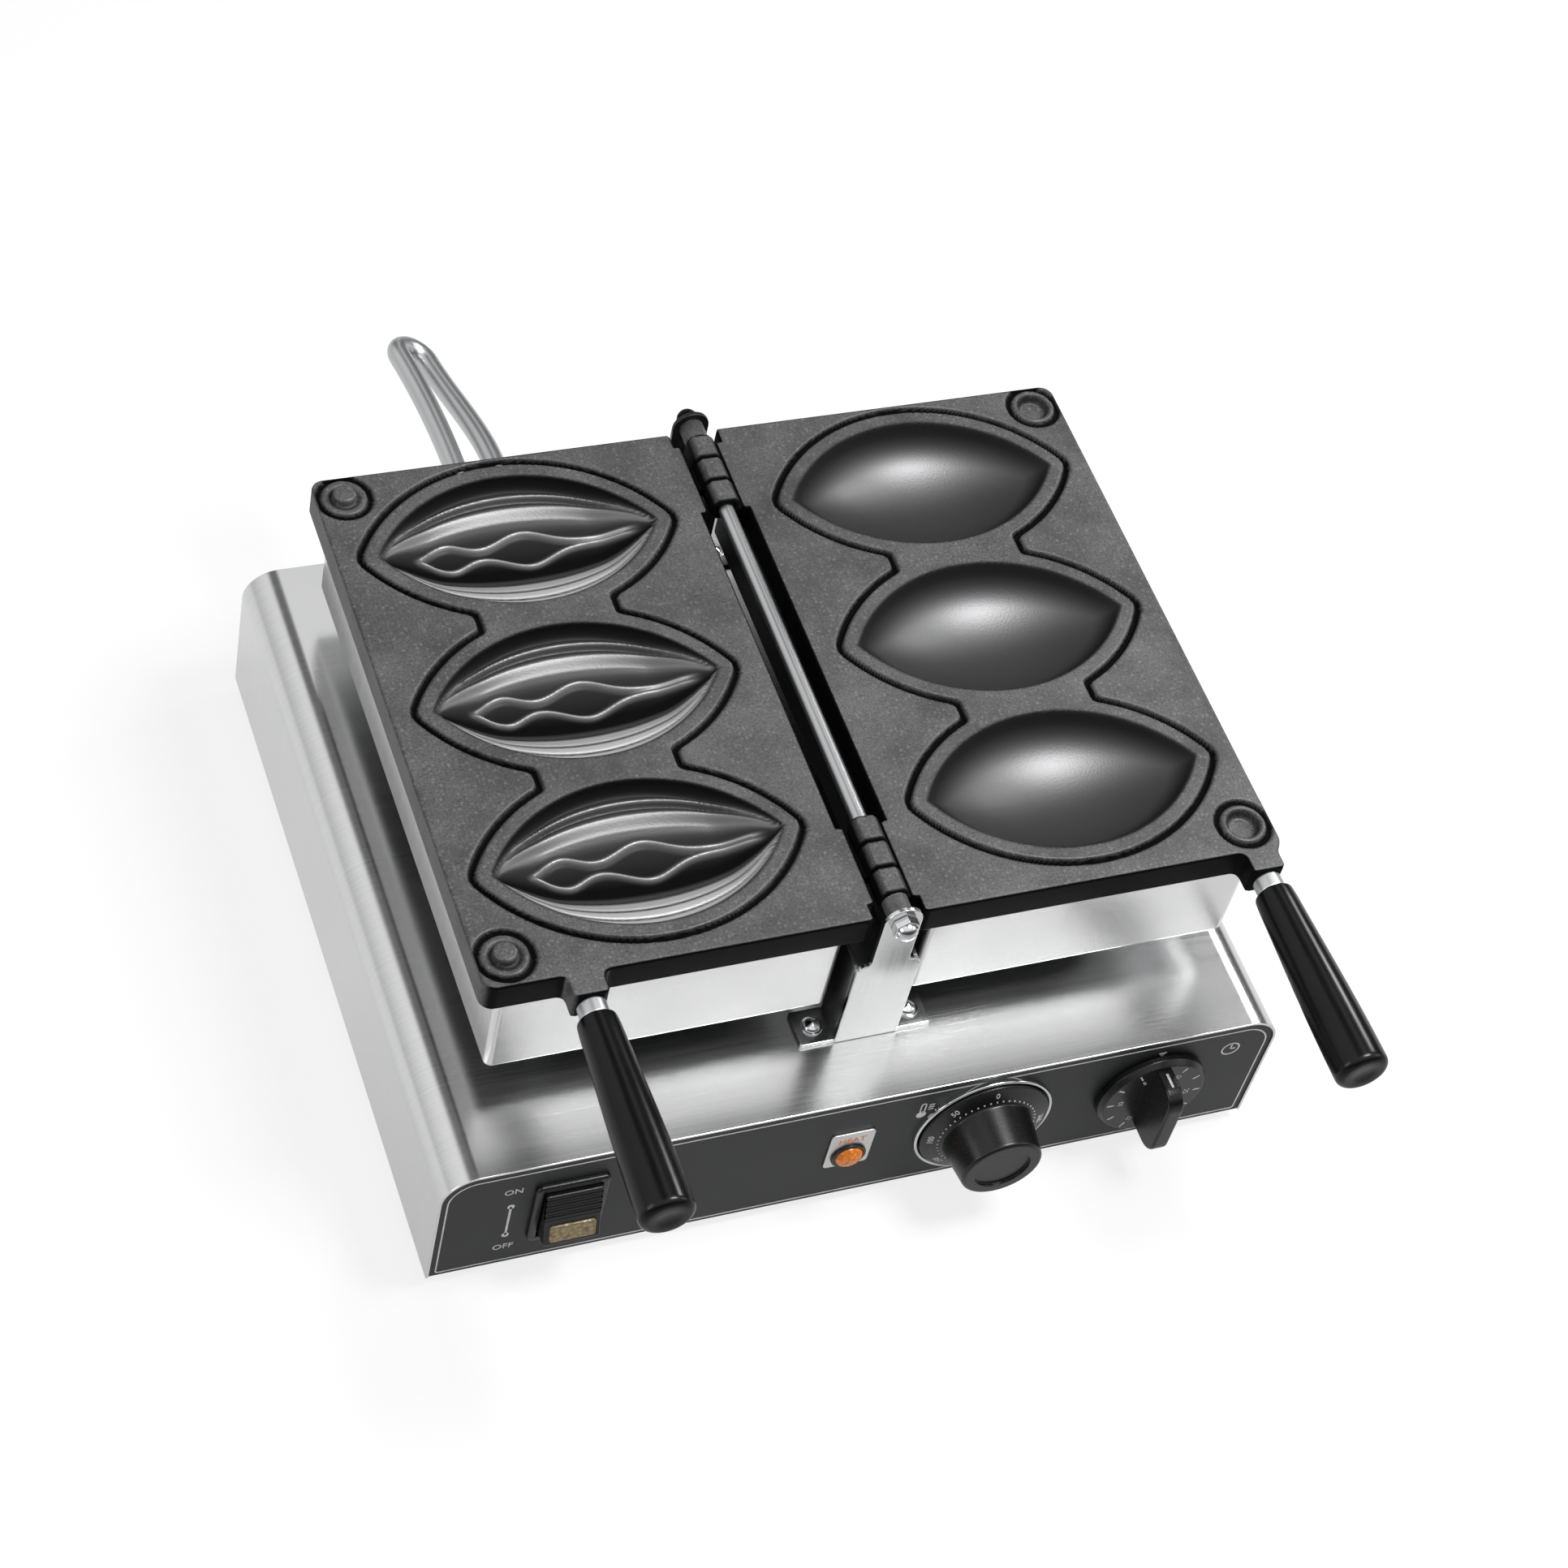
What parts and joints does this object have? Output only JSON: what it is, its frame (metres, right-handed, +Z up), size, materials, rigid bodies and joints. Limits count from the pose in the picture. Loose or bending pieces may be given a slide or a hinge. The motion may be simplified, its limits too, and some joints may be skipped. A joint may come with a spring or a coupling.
{
  "type": "waffle baker",
  "caption": "Electric countertop waffle baker: two cast plates with almond moulds hinge like a book over a stainless base with a dial panel.",
  "frame": {"origin": "on the floor under the middle of the whole object's box", "axes": "+Z up, +X to the right seen from the controls, +Y to the back"},
  "size_m": [0.45, 0.5565, 0.2013],
  "materials": {
    "stainless_sheet": "polished stainless sheet with a fine brushed grain",
    "panel_coating": "satin graphite panel",
    "cast_nonstick": "cast aluminium with a speckled dark non-stick coating",
    "polished_steel": "polished",
    "plain_steel": "zinc plated",
    "heater_tube": "heat-dulled steel sheath",
    "black_bakelite": "glossy moulded bakelite",
    "black_plastic": "moulded",
    "rubber": "matt rubber",
    "silicone": "silicone",
    "amber_lens": "clear amber moulding",
    "label_plate": "white moulded",
    "fibre_mat": "ceramic fibre felt"
  },
  "bodies": {
    "base": {"housing_shell": "stainless_sheet", "rear_panel": "stainless_sheet", "bottom_plate": "stainless_sheet", "front_pedestal": "stainless_sheet", "rear_pedestal": "stainless_sheet", "front_panel": "panel_coating", "hinge_shaft": "polished_steel", "shaft_nuts": "polished_steel", "hinge_spacers": "polished_steel", "thermostat_rim": "polished_steel", "foot_screws": "plain_steel", "bottom_plate_screws": "plain_steel", "rear_panel_screws": "plain_steel", "pedestal_screws": "plain_steel", "rest_posts": "plain_steel", "rest_post_screws": "plain_steel", "control_nuts": "plain_steel", "earth_screw": "plain_steel", "switch_body": "black_plastic", "mains_entry_gland": "black_plastic", "mains_entry_nut": "black_plastic", "thermostat_body": "black_plastic", "timer_body": "black_plastic", "indicator_lamp": "black_plastic", "terminal_block": "black_plastic", "rubber_feet": "rubber", "base_lead_bushings": "rubber", "rest_pads": "silicone", "indicator_lens": "amber_lens", "indicator_plate": "label_plate"},
    "left_plate": {"left_plate": "cast_nonstick", "left_hinge_knuckles": "cast_nonstick", "left_heater_box": "stainless_sheet", "left_heating_element": "heater_tube", "left_element_clamps": "plain_steel", "left_insulation_mat": "fibre_mat", "left_box_studs": "plain_steel", "left_lead_bushing": "rubber", "left_handle_stud": "polished_steel", "left_handle_ferrule": "polished_steel", "left_handle_grip": "black_bakelite", "left_guide_pins": "cast_nonstick", "rear_bar_loop": "polished_steel"},
    "right_plate": {"right_plate": "cast_nonstick", "right_hinge_knuckles": "cast_nonstick", "right_heater_box": "stainless_sheet", "right_heating_element": "heater_tube", "right_element_clamps": "plain_steel", "right_insulation_mat": "fibre_mat", "right_box_studs": "plain_steel", "right_lead_bushing": "rubber", "right_handle_stud": "polished_steel", "right_handle_ferrule": "polished_steel", "right_handle_grip": "black_bakelite"},
    "rocker": {"rocker_button": "black_plastic", "rocker_lens": "amber_lens"},
    "thermostat_dial": {"thermostat_knob": "black_bakelite", "thermostat_shaft": "polished_steel"},
    "timer_dial": {"timer_knob": "black_bakelite", "timer_shaft": "polished_steel"}
  },
  "joints": [
    {"name": "left_plate_hinge", "type": "hinge", "parent": "base", "child": "left_plate", "pos_m": [0.0045, 0, 0.1913], "axis": [0, 1, 0], "range_deg": [0, 180]},
    {"name": "right_plate_hinge", "type": "hinge", "parent": "base", "child": "right_plate", "pos_m": [0.0045, 0, 0.1913], "axis": [0, -1, 0], "range_deg": [0, 180]},
    {"name": "switch_rocker", "type": "hinge", "parent": "base", "child": "rocker", "pos_m": [-0.157, -0.18325, 0.051], "axis": [1, 0, 0], "range_deg": [0, 24]},
    {"name": "thermostat_turn", "type": "hinge", "parent": "base", "child": "thermostat_dial", "pos_m": [0.0645, -0.18745, 0.051], "axis": [0, 1, 0], "range_deg": [0, 270]},
    {"name": "timer_turn", "type": "hinge", "parent": "base", "child": "timer_dial", "pos_m": [0.159, -0.18745, 0.051], "axis": [0, 1, 0], "range_deg": [0, 300]}
  ]
}
